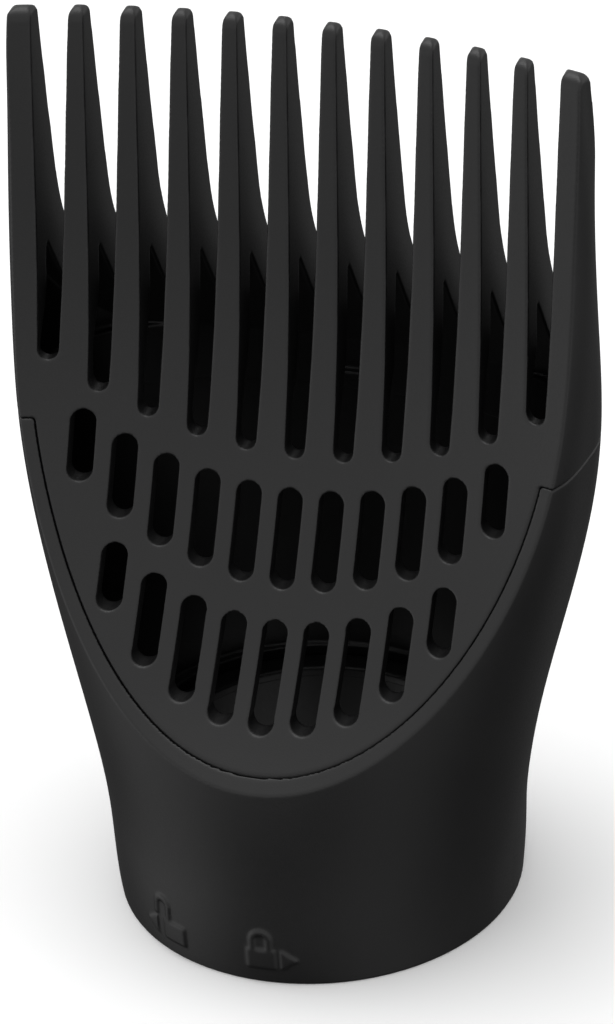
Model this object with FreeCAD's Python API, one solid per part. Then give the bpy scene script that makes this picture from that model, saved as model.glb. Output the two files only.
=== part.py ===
"""Comb nozzle for a hand-held hair dryer.

Three mouldings: a flared body shell, a comb head that snaps into its top and
carries the vented front panel and twelve hollow-rooted teeth, and a coupling
ring in the collar that takes the dryer's barrel with a twist lock.

Frame: origin at the centre of the collar's lower edge, +Z up through the teeth,
-Y towards the vented front, X across the comb. Millimetres.
"""
import FreeCAD, Part
import math
import os
from FreeCAD import Vector

# ---- overall ----
TIP_HEIGHT = 127.5          # tooth tips above the collar's lower edge
SEAM_HEIGHT = 71.2          # parting plane between body shell and comb head
WALL = 1.8                  # body shell wall, seen as the rim round the panel
FIT = 0.1                   # clearance between mating mouldings

# Outside of the nozzle, from collar to tips. Each station is a superellipse:
# height, half width, centre y, front depth, back depth, squareness.
STATIONS = (
    (0.0, 28.0, 0.0, 28.0, 28.0, 2.00),
    (14.0, 29.1, 0.4, 28.3, 28.0, 2.00),
    (30.0, 31.9, 1.1, 28.5, 28.1, 2.03),
    (46.0, 35.8, 3.4, 28.6, 26.2, 2.20),
    (61.0, 39.0, 5.2, 26.2, 23.3, 2.38),
    (75.0, 40.6, 5.7, 21.2, 19.9, 2.45),
    (90.0, 41.1, 6.2, 14.4, 13.6, 2.45),
    (106.0, 41.0, 7.5, 9.7, 9.9, 2.60),
    (117.0, 40.75, 9.1, 7.5, 8.0, 3.40),
    (TIP_HEIGHT, 40.4, 10.6, 5.5, 6.3, 4.50),
)
SECTION_POINTS = 20         # points round each station's closed curve

# ---- scooped front ----
# Profile on the centre line, as (height, y); it leans back 45 degrees at the
# foot and stands nearly upright at the teeth.
SCOOP_PROFILE = (
    (22.0, -37.5),
    (31.0, -27.1),
    (44.0, -15.4),
    (58.0, -6.2),
    (72.0, 0.4),
    (88.0, 5.4),
    (108.0, 9.6),
    (132.0, 14.5),
)
SCOOP_RADIUS = 145.0        # hollow of the front across X
SCOOP_HALF_SPAN = 56.0      # half width of the working surfaces
SHEET_LOW = 22.0            # height range of the front's working surface
SHEET_HIGH = 132.0
SHEET_COLUMNS = 9
SHEET_ROWS = 23
PANEL_LOW = 26.0            # height range of the surface behind the panel
PANEL_HIGH = 100.0
ROOF_LOW = 60.0
ROOF_HIGH = 98.0
PANEL_THICKNESS = 2.5

# ---- teeth ----
TOOTH_COUNT = 12
TOOTH_PITCH = 6.91
RIB_DEPTH = 4.6             # front rib of a tooth, behind the front surface
GAP_FOOT_HEIGHT = 69.6      # centre of the round foot of the middle gap
GAP_FOOT_ARC = 61.0         # the gap feet rise towards the ends on this arc
GAP_FOOT_RADIUS = 1.38
GAP_TIP_HALF = 2.42         # half width of a gap at the tips
TIP_ROUND = 0.95            # rounding of the tooth tips, seen from the front
TIP_ROLL = 1.7              # rounding of the tooth tips, from the front over the top
TIP_BACK_ROLL = 1.2         # rounding of the tooth tips, from the top to the back
TIP_BITE = 0.05             # the rounding starts this far behind the front
END_ROUND = 1.6             # rounding of the comb's two outer corners
RIB_FADE_LOW = 3.0          # the ribs grow out of the panel between these
RIB_FADE_HIGH = 10.0        # heights above the gap feet
RIB_FADE_SPAN = 0.75        # of the gap feet's arc: further out the fade stays level
GAP_SPLIT_Y = 14.0          # the front gaps are cut back to here
GAP_OVERLAP = 3.0           # the back gaps start this far in front of that
BACK_GAP_FOOT = 84.0        # foot of the gaps in the back wall

# ---- hollow of the head ----
HEAD_WALL = 2.0
TONGUE_STEP = 2.0           # the hollow widens this far above the seam
# Underside of the back legs of the teeth, as (height, y)
ROOF_PROFILE = (
    (60.0, 30.0),
    (70.0, 24.5),
    (78.0, 19.4),
    (85.5, 14.8),
    (90.5, 12.2),
    (98.0, 8.6),
)

# Back of the teeth on the centre line, as (height, y); it follows the hollow front.
BACK_PROFILE = (
    (84.0, 24.6),
    (91.0, 19.2),
    (98.0, 17.1),
    (105.0, 16.7),
    (112.0, 16.5),
    (121.0, 16.4),
    (132.0, 16.4),
)
BACK_LOW = 84.0

# ---- vent slots ----
SLOT_WIDTH = 3.45
SLOT_DRAFT = 0.1            # the slots widen by this on each side through the panel
SLOT_DEPTH = 3.5            # panel thickness along Y, where the slots are
SLOT_REACH = 6.0            # how far the slot cutters run each way along Y
# rows: count, top of middle slot, arc of tops, foot of middle slot, arc of feet
SLOT_PITCH = 5.88
SLOT_ROWS = (
    (11, 64.4, 58.0, 52.4, 45.0),
    (9, 48.8, 42.0, 36.5, 29.5),
)

# ---- tongue and catches between head and body ----
TONGUE_LENGTH = 8.0
TONGUE_THICKNESS = 1.4
CATCH_WIDTH = 8.0
CATCH_HEIGHT = 1.6
CATCH_DEPTH = 0.7
CATCH_DROP = 5.0            # centre of the catches below the seam
CATCH_CENTRE_Y = 5.5        # middle of the side catches
CATCH_BAND = 3.0            # depth of the ring that the catches are cut from

# ---- collar and coupling ring ----
BORE_RADIUS = 26.1          # bore of the collar
BORE_DEPTH = 19.5
RING_INNER_RADIUS = 24.2
RING_OUTER_RADIUS = 26.0
RING_HEIGHT = 18.0
STOP_INNER_RADIUS = 22.6    # shoulder that stops the dryer's barrel
STOP_THICKNESS = 1.6
BEAD_RADIUS = 0.45          # snap bead round the ring
BEAD_HEIGHT = 13.0
KEY_WIDTH = 4.0
KEY_DEPTH = 0.8
KEY_HEIGHT = 7.0
LOCK_TWIST = 29.0           # degrees between unlocked and locked
LOCK_ENTRY_HALF = 6.0       # half angle of an entry slot, degrees
LOCK_RUN_LOW = 6.0          # height range of the run that the dryer's lugs turn in
LOCK_RUN_HIGH = 10.5

# ---- raised lock symbols ----
SYMBOL_HEIGHT = 0.3         # how far they stand off the collar
SYMBOL_ROOT = 0.6           # how far they run into the collar's wall
SYMBOL_FOOT = 2.6
CLOSED_ANGLE = 1.5          # degrees round the collar from the front
OPEN_ANGLE = -26.5
LOCK_WIDTH = 3.9            # padlock body
LOCK_HEIGHT = 3.0
SHACKLE_WIDTH = 3.1
SHACKLE_RISE = 3.2          # top of the closed shackle above the padlock body
SHACKLE_BAR = 0.75
SHACKLE_LIFT = 0.5          # the open shackle stands this much higher
FREE_LEG_GAP = 0.45         # end of the open shackle above the padlock body's top
ARROW_WIDTH = 2.3
ARROW_HEIGHT = 3.1
ARROW_GAP = 0.9             # between an arrow and the padlock on its side
OPEN_ARROW_GAP = 1.4

REACH = 120.0               # longer than any cut needs
CLEAR = 2.0                 # how far a cutter runs past the face that it opens
LAP = 0.5                   # how far a fused piece runs into its neighbour


# ---------------------------------------------------------------- tools
def signed_power(value, exponent):
    return math.copysign(abs(value) ** exponent, value)


def station_wire(station, inset):
    """Closed curve of one station, moved inwards by inset."""
    height, half_width, centre, front, back, squareness = station
    points = []
    for step in range(SECTION_POINTS):
        angle = 2.0 * math.pi * step / SECTION_POINTS
        depth = (back if math.sin(angle) > 0 else front) - inset
        x = (half_width - inset) * signed_power(math.cos(angle), 2.0 / squareness)
        y = centre + depth * signed_power(math.sin(angle), 2.0 / squareness)
        points.append(Vector(x, y, height))
    curve = Part.BSplineCurve()
    curve.interpolate(Points=points, PeriodicFlag=True)
    return Part.Wire(curve.toShape())


def envelope(inset=0.0):
    """Solid inside the nozzle's outer skin, moved inwards by inset."""
    wires = [station_wire(station, inset) for station in STATIONS]
    return Part.makeLoft(wires, True, False)


def profile_curve(profile):
    curve = Part.BSplineCurve()
    curve.interpolate([Vector(0, y, height) for height, y in profile])
    return curve


def profile_y(curve, height):
    """y of a profile curve at a height."""
    low, high = curve.FirstParameter, curve.LastParameter
    for _ in range(50):
        middle = 0.5 * (low + high)
        if curve.value(middle).z < height:
            low = middle
        else:
            high = middle
    return curve.value(0.5 * (low + high)).y


SCOOP_CURVE = profile_curve(SCOOP_PROFILE)
ROOF_CURVE = profile_curve(ROOF_PROFILE)
BACK_CURVE = profile_curve(BACK_PROFILE)


def hollow(x):
    """How far the curved front comes forward at x."""
    return x * x / (2.0 * SCOOP_RADIUS)


def front_y(x, height):
    return profile_y(SCOOP_CURVE, height) - hollow(x)


def lean(height):
    """Slope of the front profile, dy/dz."""
    step = 0.5
    rise = profile_y(SCOOP_CURVE, height + step) - profile_y(SCOOP_CURVE, height - step)
    return rise / (2.0 * step)


def gap_foot(x):
    """Height of the centre of a gap's round foot at x."""
    return GAP_FOOT_HEIGHT + GAP_FOOT_ARC - math.sqrt(GAP_FOOT_ARC ** 2 - x * x)


def inner_front_y(x, height):
    """Back of the panel below, and back of the front ribs above the gap feet."""
    reach = min(abs(x), RIB_FADE_SPAN * GAP_FOOT_ARC)
    above = height - gap_foot(reach)
    fade = (above - RIB_FADE_LOW) / (RIB_FADE_HIGH - RIB_FADE_LOW)
    fade = min(max(fade, 0.0), 1.0)
    fade = fade * fade * (3.0 - 2.0 * fade)
    slant = math.sqrt(1.0 + lean(height) ** 2)
    thickness = PANEL_THICKNESS * slant
    return front_y(x, height) + thickness + fade * (RIB_DEPTH - thickness)


def roof_y(x, height):
    return profile_y(ROOF_CURVE, height) - hollow(x)


def back_y(x, height):
    return profile_y(BACK_CURVE, height) - hollow(x)


def sheet(function, low, high):
    """Smooth face through y = function(x, height)."""
    grid = []
    for column in range(SHEET_COLUMNS):
        x = SCOOP_HALF_SPAN * (2.0 * column / (SHEET_COLUMNS - 1) - 1.0)
        line = []
        for row in range(SHEET_ROWS):
            height = low + (high - low) * row / (SHEET_ROWS - 1)
            line.append(Vector(x, function(x, height), height))
        grid.append(line)
    surface = Part.BSplineSurface()
    surface.interpolate(grid)
    return surface.toShape()


def behind(face):
    return face.extrude(Vector(0, REACH, 0))


def ahead(face):
    return face.extrude(Vector(0, -REACH, 0))


def slab(low, high):
    """Everything between two heights."""
    return Part.makeBox(REACH, REACH, high - low, Vector(-REACH / 2, -REACH / 2, low))


def prism(edges, depth):
    """Prism along +Y from a closed outline in an XZ plane."""
    return Part.Face(Part.Wire(Part.__sortEdges__(edges))).extrude(Vector(0, depth, 0))


def line(start, end):
    return Part.LineSegment(start, end).toShape()


def arc(start, middle, end):
    return Part.Arc(start, middle, end).toShape()


# ---------------------------------------------------------------- comb gaps
def gap_cutter(x, foot, r, start_y, end_y):
    """Tapered gap with a round foot; its shoulders round off the tooth tips."""
    half = GAP_TIP_HALF
    top = TIP_HEIGHT
    shoulder = top - TIP_ROUND
    diagonal = TIP_ROUND * (1.0 - math.sqrt(0.5))
    clear = top + CLEAR

    def at(dx, height):
        return Vector(x + dx, start_y, height)

    edges = [
        arc(at(-r, foot), at(0, foot - r), at(r, foot)),
        line(at(r, foot), at(half, shoulder)),
        arc(at(half, shoulder), at(half + diagonal, top - diagonal), at(half + TIP_ROUND, top)),
        line(at(half + TIP_ROUND, top), at(half + TIP_ROUND, clear)),
        line(at(half + TIP_ROUND, clear), at(-half - TIP_ROUND, clear)),
        line(at(-half - TIP_ROUND, clear), at(-half - TIP_ROUND, top)),
        arc(at(-half - TIP_ROUND, top), at(-half - diagonal, top - diagonal), at(-half, shoulder)),
        line(at(-half, shoulder), at(-r, foot)),
    ]
    return prism(edges, end_y - start_y)


def comb_gaps():
    cutters = []
    for index in range(TOOTH_COUNT - 1):
        x = (index - (TOOTH_COUNT - 2) / 2.0) * TOOTH_PITCH
        split = GAP_SPLIT_Y - hollow(x)
        foot = gap_foot(x)
        r = GAP_FOOT_RADIUS
        taper = (GAP_TIP_HALF - r) / (TIP_HEIGHT - TIP_ROUND - foot)
        back_r = r + taper * (BACK_GAP_FOOT - foot)
        cutters.append(gap_cutter(x, foot, r, -REACH / 2, split))
        cutters.append(gap_cutter(x, BACK_GAP_FOOT, back_r, split - GAP_OVERLAP, REACH / 2))
    return cutters


def tip_cutters():
    """Round each tooth tip from its front over the top, square to the curved comb."""
    cutters = []
    slope = lean(TIP_HEIGHT)
    drop = slope / math.sqrt(1.0 + slope * slope)
    start = TIP_HEIGHT - TIP_ROLL * (1.0 - drop)
    for index in range(TOOTH_COUNT):
        x = (index - (TOOTH_COUNT - 1) / 2.0) * TOOTH_PITCH
        front = TIP_BITE
        centre_y = front + TIP_ROLL * math.sqrt(1.0 - drop * drop)
        centre_z = TIP_HEIGHT - TIP_ROLL
        turn = 0.5 * (math.pi / 2.0 + math.pi - math.asin(drop))

        def at(y, height):
            return Vector(-TOOTH_PITCH / 2, y, height)

        middle = at(
            centre_y + TIP_ROLL * math.cos(turn),
            centre_z + TIP_ROLL * math.sin(turn),
        )
        top = at(centre_y, TIP_HEIGHT)
        foot = at(front, start)
        r = TIP_BACK_ROLL
        half = r * math.sqrt(0.5)
        back_middle = at(centre_y + half, TIP_HEIGHT - r + half)
        back = at(centre_y + r, TIP_HEIGHT - r)
        edges = [
            arc(foot, middle, top),
            arc(top, back_middle, back),
            line(back, at(centre_y + r + CLEAR, TIP_HEIGHT - r)),
            line(at(centre_y + r + CLEAR, TIP_HEIGHT - r), at(centre_y + r + CLEAR, TIP_HEIGHT + CLEAR)),
            line(at(centre_y + r + CLEAR, TIP_HEIGHT + CLEAR), at(front - CLEAR, TIP_HEIGHT + CLEAR)),
            line(at(front - CLEAR, TIP_HEIGHT + CLEAR), at(front - CLEAR, start - CLEAR * slope)),
            line(at(front - CLEAR, start - CLEAR * slope), foot),
        ]
        cutter = Part.Face(Part.Wire(edges)).extrude(Vector(TOOTH_PITCH, 0, 0))
        heading = -math.degrees(math.atan(x / SCOOP_RADIUS))
        cutter.rotate(Vector(0, 0, 0), Vector(0, 0, 1), heading)
        cutter.translate(Vector(x, front_y(x, start), 0))
        cutters.append(cutter)
    return cutters


def end_corner_cutters():
    """Round off the top outer corners of the two end teeth."""
    cutters = []
    edge = STATIONS[-1][1]
    top = TIP_HEIGHT
    inner = edge - END_ROUND
    outer = edge + CLEAR
    diagonal = END_ROUND * (1.0 - math.sqrt(0.5))
    for side in (-1, 1):

        def at(x, height):
            return Vector(side * x, -REACH / 2, height)

        edges = [
            arc(at(inner, top), at(edge - diagonal, top - diagonal), at(edge, top - END_ROUND)),
            line(at(edge, top - END_ROUND), at(outer, top - END_ROUND)),
            line(at(outer, top - END_ROUND), at(outer, top + CLEAR)),
            line(at(outer, top + CLEAR), at(inner, top + CLEAR)),
            line(at(inner, top + CLEAR), at(inner, top)),
        ]
        cutters.append(prism(edges, REACH))
    return cutters


# ---------------------------------------------------------------- vent slots
def slot_wire(x, low, high, half_width, shift):
    """Stadium lying in the panel's slope, moved along Y by shift."""
    middle = 0.5 * (low + high)
    slope = lean(middle)
    centre_y = front_y(x, middle)

    def at(dx, height):
        return Vector(x + dx, centre_y + slope * (height - middle) + shift, height)

    w = half_width
    edges = [
        arc(at(-w, low + w), at(0, low), at(w, low + w)),
        line(at(w, low + w), at(w, high - w)),
        arc(at(w, high - w), at(0, high), at(-w, high - w)),
        line(at(-w, high - w), at(-w, low + w)),
    ]
    return Part.Wire(edges)


def vent_slots():
    cutters = []
    half = SLOT_WIDTH / 2.0
    flare = SLOT_DRAFT * SLOT_REACH / SLOT_DEPTH
    for count, top, top_arc, foot, foot_arc in SLOT_ROWS:
        for index in range(count):
            x = (index - (count - 1) / 2.0) * SLOT_PITCH
            high = top + top_arc - math.sqrt(top_arc ** 2 - x * x)
            low = foot + foot_arc - math.sqrt(foot_arc ** 2 - x * x)
            wires = [
                slot_wire(x, low + flare, high - flare, half - flare, -SLOT_REACH),
                slot_wire(x, low, high, half, 0.0),
                slot_wire(x, low - flare, high + flare, half + flare, SLOT_REACH),
            ]
            cutters.append(Part.makeLoft(wires, True, True))
    return cutters


# ---------------------------------------------------------------- catches
def catch_boxes(inset, grow):
    """Three snap catches: one each side and one at the back."""
    height = SEAM_HEIGHT - CATCH_DROP
    tall = CATCH_HEIGHT + 2 * grow
    wide = CATCH_WIDTH + 2 * grow
    band = envelope(inset).cut(envelope(inset + CATCH_BAND))
    low = height - tall / 2
    side = Part.makeBox(REACH, wide, tall, Vector(-REACH / 2, CATCH_CENTRE_Y - wide / 2, low))
    back = Part.makeBox(wide, REACH, tall, Vector(-wide / 2, CATCH_CENTRE_Y, low))
    return band.common(side.fuse(back))


# ---------------------------------------------------------------- comb head
def head_hollow():
    """Air space of the head: behind the panel, under the roots of the teeth."""
    back_of_panel = behind(sheet(inner_front_y, PANEL_LOW, PANEL_HIGH))
    foot_of_tongue = SEAM_HEIGHT - TONGUE_LENGTH
    step = SEAM_HEIGHT + TONGUE_STEP
    open_part = back_of_panel.common(slab(PANEL_LOW, foot_of_tongue))
    tongue_bore = envelope(WALL + FIT + TONGUE_THICKNESS).common(slab(foot_of_tongue, step))
    upper_bore = envelope(HEAD_WALL).common(slab(step, PANEL_HIGH))
    upper_bore = upper_bore.common(ahead(sheet(roof_y, ROOF_LOW, ROOF_HIGH)))
    bores = tongue_bore.fuse(upper_bore).common(back_of_panel)
    return [open_part, bores]


def comb_head():
    crown = envelope().common(slab(SEAM_HEIGHT, TIP_HEIGHT))
    insert = envelope(WALL + FIT).common(slab(PANEL_LOW, SEAM_HEIGHT + LAP))
    head = crown.fuse(insert)
    head = head.cut(ahead(sheet(front_y, SHEET_LOW, SHEET_HIGH)))
    head = head.cut(behind(sheet(back_y, BACK_LOW, SHEET_HIGH)))
    head = head.cut(head_hollow())
    head = head.fuse(catch_boxes(WALL + FIT - CATCH_DEPTH, 0.0))
    head = head.cut(comb_gaps() + vent_slots())
    return head.cut(tip_cutters()).cut(end_corner_cutters())


# ---------------------------------------------------------------- body shell
def body_shell():
    shell = envelope().common(slab(0.0, SEAM_HEIGHT))
    cavity = envelope(WALL).common(slab(BORE_DEPTH, SEAM_HEIGHT + CLEAR))
    bore = Part.makeCylinder(BORE_RADIUS, BORE_DEPTH)
    shell = shell.cut([cavity, bore, ahead(sheet(front_y, SHEET_LOW, SHEET_HIGH))])
    windows = catch_boxes(WALL - CATCH_DEPTH - FIT, FIT)
    groove = Part.makeTorus(BORE_RADIUS, BEAD_RADIUS + FIT, Vector(0, 0, BEAD_HEIGHT))
    shell = shell.cut([windows, groove] + ring_keys(FIT))
    return shell.fuse(lock_symbols()).removeSplitter()


def ring_keys(grow):
    """Two keys on the coupling ring that stop it turning in the collar."""
    keys = []
    wide = KEY_WIDTH + 2 * grow
    length = RING_OUTER_RADIUS + KEY_DEPTH + grow
    for turn in (45.0, 225.0):
        key = Part.makeBox(length, wide, KEY_HEIGHT + grow, Vector(0, -wide / 2, 0))
        key = key.cut(Part.makeCylinder(RING_OUTER_RADIUS - LAP, KEY_HEIGHT + CLEAR))
        key.rotate(Vector(0, 0, 0), Vector(0, 0, 1), turn)
        keys.append(key)
    return keys


# ---------------------------------------------------------------- lock symbols
def shackle(x, top, left_foot, right_foot):
    """Arch with its middle at x, as a flat face; its legs end at their own heights."""
    outer = SHACKLE_WIDTH / 2.0
    inner = outer - SHACKLE_BAR
    spring = top - outer

    def at(dx, z):
        return Vector(x + dx, 0, z)

    edges = [
        line(at(-outer, left_foot), at(-outer, spring)),
        arc(at(-outer, spring), at(0, top), at(outer, spring)),
        line(at(outer, spring), at(outer, right_foot)),
        line(at(outer, right_foot), at(inner, right_foot)),
        line(at(inner, right_foot), at(inner, spring)),
        arc(at(inner, spring), at(0, spring + inner), at(-inner, spring)),
        line(at(-inner, spring), at(-inner, left_foot)),
        line(at(-inner, left_foot), at(-outer, left_foot)),
    ]
    return Part.Face(Part.Wire(edges))


def rectangle(x, z, width, height):
    return Part.makePlane(width, height, Vector(x, 0, z), Vector(0, -1, 0), Vector(1, 0, 0))


def triangle(x, z, width, height):
    """Arrow head; a negative width points it to -X."""
    corners = [Vector(x, 0, z), Vector(x + width, 0, z + height / 2), Vector(x, 0, z + height)]
    return Part.Face(Part.makePolygon(corners + corners[:1]))


def lock_symbols():
    """Closed and open padlocks with arrows, raised on the collar."""
    half = LOCK_WIDTH / 2.0
    lock_top = SYMBOL_FOOT + LOCK_HEIGHT
    root = lock_top - LAP
    arch = lock_top + SHACKLE_RISE
    shift = SHACKLE_BAR - SHACKLE_WIDTH
    lock = rectangle(-half, SYMBOL_FOOT, LOCK_WIDTH, LOCK_HEIGHT)
    closed = [
        lock,
        shackle(0.0, arch, root, root),
        triangle(half + ARROW_GAP, SYMBOL_FOOT, ARROW_WIDTH, ARROW_HEIGHT),
    ]
    opened = [
        lock,
        shackle(shift, arch + SHACKLE_LIFT, lock_top + FREE_LEG_GAP, root),
        triangle(-half - OPEN_ARROW_GAP, SYMBOL_FOOT, -ARROW_WIDTH, ARROW_HEIGHT),
    ]
    skin = envelope(-SYMBOL_HEIGHT).cut(envelope(SYMBOL_ROOT)).common(slab(LAP, RING_HEIGHT))
    symbols = []
    for angle, faces in ((CLOSED_ANGLE, closed), (OPEN_ANGLE, opened)):
        for face in faces:
            block = face.extrude(Vector(0, -REACH / 2, 0))
            block.rotate(Vector(0, 0, 0), Vector(0, 0, 1), angle)
            symbols.append(skin.common(block))
    return symbols


# ---------------------------------------------------------------- coupling ring
def wedge(low_angle, high_angle, low, high):
    """Sector of the ring's wall between two angles and two heights."""
    foot = Vector(0, 0, low)
    up = Vector(0, 0, 1)
    sector = Part.makeCylinder(RING_OUTER_RADIUS + CLEAR, high - low, foot, up, high_angle - low_angle)
    sector = sector.cut(Part.makeCylinder(RING_INNER_RADIUS - LAP, TIP_HEIGHT))
    sector.rotate(Vector(0, 0, 0), Vector(0, 0, 1), low_angle)
    return sector


def coupling_ring():
    ring = Part.makeCylinder(RING_OUTER_RADIUS, RING_HEIGHT)
    ring = ring.cut(Part.makeCylinder(RING_INNER_RADIUS, RING_HEIGHT - STOP_THICKNESS))
    ring = ring.cut(Part.makeCylinder(STOP_INNER_RADIUS, RING_HEIGHT))
    bead = Part.makeTorus(RING_OUTER_RADIUS, BEAD_RADIUS, Vector(0, 0, BEAD_HEIGHT))
    bead = bead.cut(Part.makeCylinder(RING_OUTER_RADIUS - BEAD_RADIUS / 2, TIP_HEIGHT))
    ring = ring.fuse([bead] + ring_keys(0.0))
    slots = []
    for turn in (0.0, 180.0):
        start = turn - LOCK_ENTRY_HALF
        end = turn + LOCK_ENTRY_HALF
        slots.append(wedge(start, end, 0.0, LOCK_RUN_HIGH))
        slots.append(wedge(start, end + LOCK_TWIST, LOCK_RUN_LOW, LOCK_RUN_HIGH))
    return ring.cut(slots).removeSplitter()


# ---------------------------------------------------------------- export
def save(name, shape):
    solids = shape.Solids
    print(name, "solids", len(solids), "volume", round(shape.Volume, 1), "valid", shape.isValid())
    shape = solids[0] if len(solids) == 1 else shape
    shape.exportStep("parts/" + name + ".step")


os.makedirs("parts", exist_ok=True)
save("body_shell", body_shell())
save("comb_head", comb_head())
save("coupling_ring", coupling_ring())
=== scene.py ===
"""Looks of the comb nozzle for a hand-held hair dryer.

The three packed mouldings give the shape. Each is refined from its own faces and corner
normals, its edges are rounded as a mould leaves them, and it gets a satin black plastic
with a fine moulded grain. Metres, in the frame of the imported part.
"""

import math

import bpy
import numpy as np
import openvdb
from mathutils import Matrix, Vector


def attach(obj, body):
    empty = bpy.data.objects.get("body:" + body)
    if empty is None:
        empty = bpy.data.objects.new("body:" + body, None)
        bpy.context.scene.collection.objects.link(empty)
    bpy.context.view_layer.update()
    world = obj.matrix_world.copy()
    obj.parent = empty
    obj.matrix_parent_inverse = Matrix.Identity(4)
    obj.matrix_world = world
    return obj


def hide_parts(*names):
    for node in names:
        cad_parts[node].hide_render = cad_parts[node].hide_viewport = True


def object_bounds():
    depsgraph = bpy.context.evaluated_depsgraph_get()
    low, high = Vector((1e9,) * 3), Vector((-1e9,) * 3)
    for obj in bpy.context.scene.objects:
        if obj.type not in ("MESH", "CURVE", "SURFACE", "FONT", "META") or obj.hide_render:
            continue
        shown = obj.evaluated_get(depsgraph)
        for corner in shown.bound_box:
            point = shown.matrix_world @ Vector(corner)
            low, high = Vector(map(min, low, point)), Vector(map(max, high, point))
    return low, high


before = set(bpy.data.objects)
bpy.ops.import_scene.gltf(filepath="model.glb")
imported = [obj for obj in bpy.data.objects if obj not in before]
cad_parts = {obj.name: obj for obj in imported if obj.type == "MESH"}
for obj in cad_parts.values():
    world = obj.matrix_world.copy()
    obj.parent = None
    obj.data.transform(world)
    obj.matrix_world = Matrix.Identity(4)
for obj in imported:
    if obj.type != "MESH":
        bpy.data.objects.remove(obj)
CAD_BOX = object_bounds()
MM = 0.001

# ---- camera: where it stands, in millimetres, and how it is turned ----
CAMERA_PLACE = Vector((336.916, -900.047, 686.334)) * MM
CAMERA_TURN = math.radians(20.4605)      # round to the +X side of the front
CAMERA_DIP = math.radians(33.1414)       # looking down
CAMERA_ROLL = math.radians(-3.6764)
CAMERA_LENS = 297.63
SENSOR_WIDTH = 36.0
CAMERA_FAR = 20.0                        # metres

# ---- rounding of the mouldings ----
# node: material slot, voxel and softening of the edges in millimetres
MOULDINGS = {
    "body_shell": ("shell_plastic", 0.21, 0.13),
    "comb_head": ("comb_plastic", 0.20, 0.14),
    "coupling_ring": ("ring_plastic", 0.24, 0.14),
}
BAND_VOXELS = 6                          # distance field kept each side of a surface
KERNEL_REACH = 3                         # voxels each side of the softening kernel
REFINE_ROUNDS = 3
REFINE_EDGE = 0.5                        # faces with longer edges than this are refined
REFINE_TURN = math.radians(0.4)          # where their corner normals turn by more

# ---- surroundings: brightness above and below, and glows round three directions ----
SKY_STRENGTH = 0.80
DARK_STRENGTH = 0.06
SKY_FADE = (-0.5, -0.1)                  # from dark to bright, by height of the view direction
GLOWS = (                                # direction, cosine at the rim, strength
    ((-0.852, -0.397, -0.342), 0.75, 0.55),
    ((0.663, -0.557, -0.5), 0.82, 0.30),
    ((0.20, 0.80, -0.55), 0.80, 0.05),
)

# ---- floor and the soft light above it, in metres and watts ----
FLOOR_HALF = 6.0
FLOOR_COLOUR = (0.92, 0.92, 0.92, 1.0)
FLOOR_ROUGHNESS = 0.9
FLOOR_GLOW = 0.08                        # own light of the floor, which keeps it white
LIGHT_PLACE = (-0.25, 0.20, 1.35)
LIGHT_AIM = (0.0, 0.0, 0.05)
LIGHT_SIDE = 1.1
LIGHT_POWER = 9.5

# ---- moulded plastic: noise scales per metre, colours and roughness ----
GRAIN_SCALE = 4200.0
GRAIN_DETAIL = 2.0
CLOUD_SCALE = 55.0
CLOUD_DETAIL = 3.0
DARK_BLACK = (0.0022, 0.0022, 0.0024, 1.0)
PALE_BLACK = (0.0036, 0.0035, 0.0037, 1.0)
SPECULAR = 0.5
GRAIN_ROUGHNESS = (0.40, 0.50)
CLOUD_ROUGHNESS = (-0.02, 0.02)
NOISE_RANGE = (0.3, 0.7)                 # stretch of the noise that is spread out
BUMP_STRENGTH = 0.6
BUMP_HEIGHT = 0.02                       # millimetres


# ---------------------------------------------------------------- mesh work
def corners(mesh):
    """Corner positions, in millimetres, and corner normals of a mesh's triangles."""
    mesh.calc_loop_triangles()
    count = len(mesh.loop_triangles)
    loops = np.zeros(count * 3, np.int32)
    mesh.loop_triangles.foreach_get("loops", loops)
    vertex = np.zeros(len(mesh.loops), np.int32)
    mesh.loops.foreach_get("vertex_index", vertex)
    place = np.zeros(len(mesh.vertices) * 3, np.float32)
    mesh.vertices.foreach_get("co", place)
    normal = np.zeros(len(mesh.loops) * 3, np.float32)
    mesh.corner_normals.foreach_get("vector", normal)
    place = place.reshape(-1, 3)[vertex[loops]] / MM
    normal = normal.reshape(-1, 3)[loops]
    return place.reshape(-1, 3, 3), normal.reshape(-1, 3, 3)


def curved_middle(place, normal, a, b):
    """Middle of edge a-b of each triangle, lifted onto the curve its normals describe."""
    pa, pb, na, nb = place[:, a], place[:, b], normal[:, a], normal[:, b]
    flat = (pa + pb) / 2
    to_a = np.sum((flat - pa) * na, axis=1, keepdims=True) * na
    to_b = np.sum((flat - pb) * nb, axis=1, keepdims=True) * nb
    turned = na + nb
    turned /= np.maximum(np.linalg.norm(turned, axis=1, keepdims=True), 1e-9)
    return flat - (to_a + to_b) / 4, turned


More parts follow.
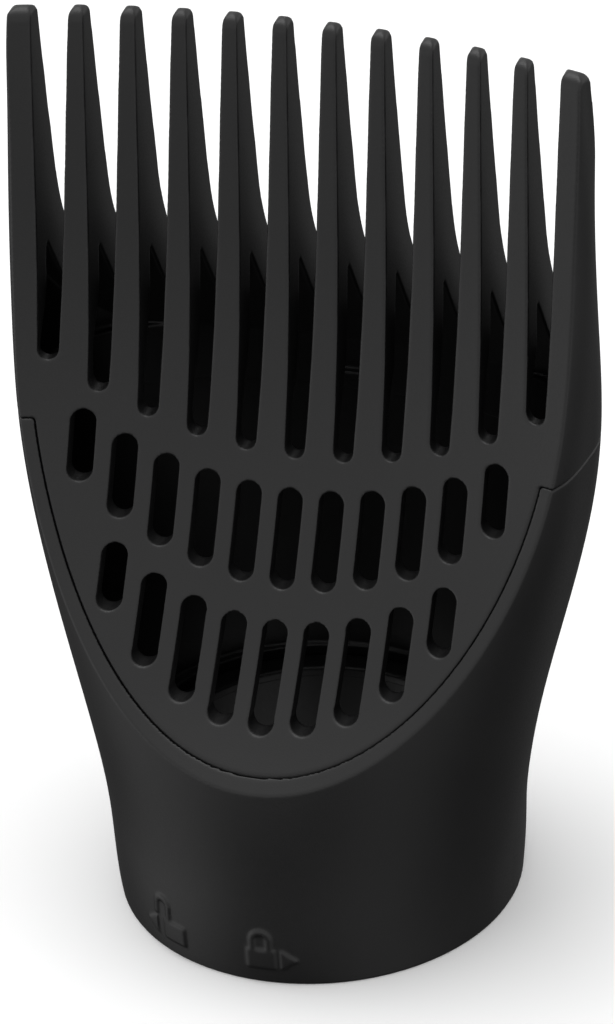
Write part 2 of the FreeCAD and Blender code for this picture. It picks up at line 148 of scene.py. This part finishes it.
def refine(place, normal):
    """Split long triangles on curved faces in four, following their corner normals."""
    for _ in range(REFINE_ROUNDS):
        edge = place - np.roll(place, -1, axis=1)
        longest = np.linalg.norm(edge, axis=2).max(axis=1)
        turn = np.sum(normal * np.roll(normal, -1, axis=1), axis=2).min(axis=1)
        split = (longest > REFINE_EDGE) & (turn < math.cos(REFINE_TURN))
        p, n = place[split], normal[split]
        p01, n01 = curved_middle(p, n, 0, 1)
        p12, n12 = curved_middle(p, n, 1, 2)
        p20, n20 = curved_middle(p, n, 2, 0)
        new_place = [
            np.stack(t, axis=1)
            for t in ((p[:, 0], p01, p20), (p01, p[:, 1], p12), (p20, p12, p[:, 2]), (p01, p12, p20))
        ]
        new_normal = [
            np.stack(t, axis=1)
            for t in ((n[:, 0], n01, n20), (n01, n[:, 1], n12), (n20, n12, n[:, 2]), (n01, n12, n20))
        ]
        place = np.concatenate([place[~split]] + new_place)
        normal = np.concatenate([normal[~split]] + new_normal)
    return place


def soften(field, sigma):
    """Blur a distance field with a Gaussian, one axis after another."""
    steps = np.arange(-KERNEL_REACH, KERNEL_REACH + 1)
    weights = np.exp(-0.5 * (steps / sigma) ** 2)
    weights /= weights.sum()
    for axis in range(3):
        result = weights[KERNEL_REACH] * field
        for step in range(1, KERNEL_REACH + 1):
            low = np.roll(field, step, axis=axis)
            low += np.roll(field, -step, axis=axis)
            low *= weights[KERNEL_REACH + step]
            result += low
        field = result.astype(np.float32)
    return field


def rounded(node, voxel, sigma):
    """Mesh of a CAD node with its edges rounded, as points in metres and faces."""
    place = refine(*corners(node.data)).reshape(-1, 3)
    triangles = np.arange(len(place), dtype=np.uint32).reshape(-1, 3)
    scale = openvdb.createLinearTransform(voxelSize=voxel)
    grid = openvdb.FloatGrid.createLevelSetFromPolygons(
        place.astype(np.float32), triangles=triangles, transform=scale, halfWidth=BAND_VOXELS
    )
    low, high = (np.array(c) for c in grid.evalActiveVoxelBoundingBox())
    low = low - KERNEL_REACH - 1
    high = high + KERNEL_REACH + 1
    field = np.full(tuple(int(n) for n in high - low + 1), grid.background, np.float32)
    grid.copyToArray(field, ijk=tuple(int(n) for n in low))
    field = soften(field, sigma / voxel)
    limit = BAND_VOXELS * voxel / 2
    np.clip(field, -limit, limit, out=field)
    soft = openvdb.FloatGrid(limit)
    soft.transform = scale
    soft.copyFromArray(field, ijk=tuple(int(n) for n in low))
    points, tris, quads = soft.convertToPolygons(isovalue=0.0, adaptivity=0.0)
    return points * MM, tris, quads


def moulding(name, slot, voxel, sigma):
    """Make the visible piece that stands for a CAD node."""
    points, tris, quads = rounded(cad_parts[name], voxel, sigma)
    mesh = bpy.data.meshes.new(name + "_moulded")
    faces = [tuple(int(i) for i in f[::-1]) for f in quads]
    faces += [tuple(int(i) for i in f[::-1]) for f in tris]
    mesh.from_pydata(points.tolist(), [], faces)
    mesh.shade_smooth()
    piece = bpy.data.objects.new(name + "_moulded", mesh)
    bpy.context.scene.collection.objects.link(piece)
    piece.data.materials.append(satin_black(slot))
    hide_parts(name)
    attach(piece, "root")


# ---------------------------------------------------------------- materials
def satin_black(name):
    """Moulded black plastic: satin, with a fine even grain and slight cloudiness."""
    material = bpy.data.materials.new(name)
    material.use_nodes = True
    nodes, links = material.node_tree.nodes, material.node_tree.links
    shader = nodes["Principled BSDF"]
    shader.inputs["Specular IOR Level"].default_value = SPECULAR
    place = nodes.new("ShaderNodeTexCoord")

    def noise(scale, detail):
        node = nodes.new("ShaderNodeTexNoise")
        node.inputs["Scale"].default_value = scale
        node.inputs["Detail"].default_value = detail
        links.new(place.outputs["Object"], node.inputs["Vector"])
        return node

    def spread(node, low, high):
        remap = nodes.new("ShaderNodeMapRange")
        remap.inputs["From Min"].default_value = NOISE_RANGE[0]
        remap.inputs["From Max"].default_value = NOISE_RANGE[1]
        remap.inputs["To Min"].default_value = low
        remap.inputs["To Max"].default_value = high
        links.new(node.outputs["Fac"], remap.inputs["Value"])
        return remap

    grain = noise(GRAIN_SCALE, GRAIN_DETAIL)
    cloud = noise(CLOUD_SCALE, CLOUD_DETAIL)
    colour = nodes.new("ShaderNodeMix")
    colour.data_type = "RGBA"
    colour.inputs["A"].default_value = DARK_BLACK
    colour.inputs["B"].default_value = PALE_BLACK
    links.new(spread(cloud, 0.0, 1.0).outputs["Result"], colour.inputs["Factor"])
    links.new(colour.outputs["Result"], shader.inputs["Base Color"])
    rough = nodes.new("ShaderNodeMath")
    rough.operation = "ADD"
    links.new(spread(grain, *GRAIN_ROUGHNESS).outputs["Result"], rough.inputs[0])
    links.new(spread(cloud, *CLOUD_ROUGHNESS).outputs["Result"], rough.inputs[1])
    links.new(rough.outputs["Value"], shader.inputs["Roughness"])
    bump = nodes.new("ShaderNodeBump")
    bump.inputs["Strength"].default_value = BUMP_STRENGTH
    bump.inputs["Distance"].default_value = BUMP_HEIGHT * MM
    links.new(grain.outputs["Fac"], bump.inputs["Height"])
    links.new(bump.outputs["Normal"], shader.inputs["Normal"])
    return material


def pale(name, colour, rough):
    """Even pale finish of the studio floor, with a little light of its own."""
    material = bpy.data.materials.new(name)
    material.use_nodes = True
    shader = material.node_tree.nodes["Principled BSDF"]
    shader.inputs["Base Color"].default_value = colour
    shader.inputs["Roughness"].default_value = rough
    shader.inputs["Specular IOR Level"].default_value = 0.0
    shader.inputs["Emission Color"].default_value = (1.0, 1.0, 1.0, 1.0)
    shader.inputs["Emission Strength"].default_value = FLOOR_GLOW
    return material


# ---------------------------------------------------------------- studio
def camera():
    """Camera at the place and turn named at the top."""
    c, s = math.cos(CAMERA_TURN), math.sin(CAMERA_TURN)
    ce, se = math.cos(CAMERA_DIP), math.sin(CAMERA_DIP)
    right = Vector((c, s, 0.0))
    forward = Vector((-s * ce, c * ce, -se))
    up = right.cross(forward)
    cr, sr = math.cos(CAMERA_ROLL), math.sin(CAMERA_ROLL)
    x_axis = cr * right + sr * up
    y_axis = -sr * right + cr * up
    turn = Matrix((x_axis, y_axis, -forward)).transposed()
    data = bpy.data.cameras.new("camera")
    data.lens = CAMERA_LENS
    data.sensor_width = SENSOR_WIDTH
    data.clip_end = CAMERA_FAR
    view = bpy.data.objects.new("camera", data)
    view.matrix_world = Matrix.Translation(CAMERA_PLACE) @ turn.to_4x4()
    bpy.context.scene.collection.objects.link(view)
    bpy.context.scene.camera = view


def softbox(name, place, target, side, power):
    """Square area light at place, facing target."""
    data = bpy.data.lights.new(name, "AREA")
    data.shape = "RECTANGLE"
    data.size = side
    data.size_y = side
    data.energy = power
    light = bpy.data.objects.new(name, data)
    aim = (Vector(target) - Vector(place)).normalized()
    light.rotation_euler = aim.to_track_quat("-Z", "Y").to_euler()
    light.location = place
    bpy.context.scene.collection.objects.link(light)


def studio():
    """Pale floor and soft surroundings."""
    mesh = bpy.data.meshes.new("floor")
    half = FLOOR_HALF
    ring = [(-half, -half, 0), (half, -half, 0), (half, half, 0), (-half, half, 0)]
    mesh.from_pydata(ring, [], [(0, 1, 2, 3)])
    mesh.materials.append(pale("floor_white", FLOOR_COLOUR, FLOOR_ROUGHNESS))
    floor = bpy.data.objects.new("floor", mesh)
    floor.location.z = CAD_BOX[0][2]
    bpy.context.scene.collection.objects.link(floor)
    floor.visible_glossy = False
    surroundings()
    softbox("top", LIGHT_PLACE, LIGHT_AIM, LIGHT_SIDE, LIGHT_POWER)


def surroundings():
    """Soft surroundings: bright above, dark below, with low glows left, right and behind."""
    world = bpy.data.worlds.new("surroundings")
    world.use_nodes = True
    nodes, links = world.node_tree.nodes, world.node_tree.links
    place = nodes.new("ShaderNodeTexCoord")
    split = nodes.new("ShaderNodeSeparateXYZ")
    links.new(place.outputs["Generated"], split.inputs["Vector"])

    def ramp(value, start, end, low, high):
        remap = nodes.new("ShaderNodeMapRange")
        remap.interpolation_type = "SMOOTHSTEP"
        remap.inputs["From Min"].default_value = start
        remap.inputs["From Max"].default_value = end
        remap.inputs["To Min"].default_value = low
        remap.inputs["To Max"].default_value = high
        links.new(value, remap.inputs["Value"])
        return remap.outputs["Result"]

    total = ramp(split.outputs["Z"], SKY_FADE[0], SKY_FADE[1], DARK_STRENGTH, SKY_STRENGTH)
    for direction, start, strength in GLOWS:
        dot = nodes.new("ShaderNodeVectorMath")
        dot.operation = "DOT_PRODUCT"
        links.new(place.outputs["Generated"], dot.inputs[0])
        dot.inputs[1].default_value = Vector(direction).normalized()
        glow = ramp(dot.outputs["Value"], start, 1.0, 0.0, strength)
        add = nodes.new("ShaderNodeMath")
        add.operation = "ADD"
        links.new(total, add.inputs[0])
        links.new(glow, add.inputs[1])
        total = add.outputs["Value"]
    nodes["Background"].inputs["Color"].default_value = (1.0, 1.0, 1.0, 1.0)
    links.new(total, nodes["Background"].inputs["Strength"])
    bpy.context.scene.world = world


for node_name, (slot_name, voxel_size, softness) in MOULDINGS.items():
    moulding(node_name, slot_name, voxel_size, softness)
camera()
studio()
bpy.context.scene.view_settings.view_transform = "Standard"
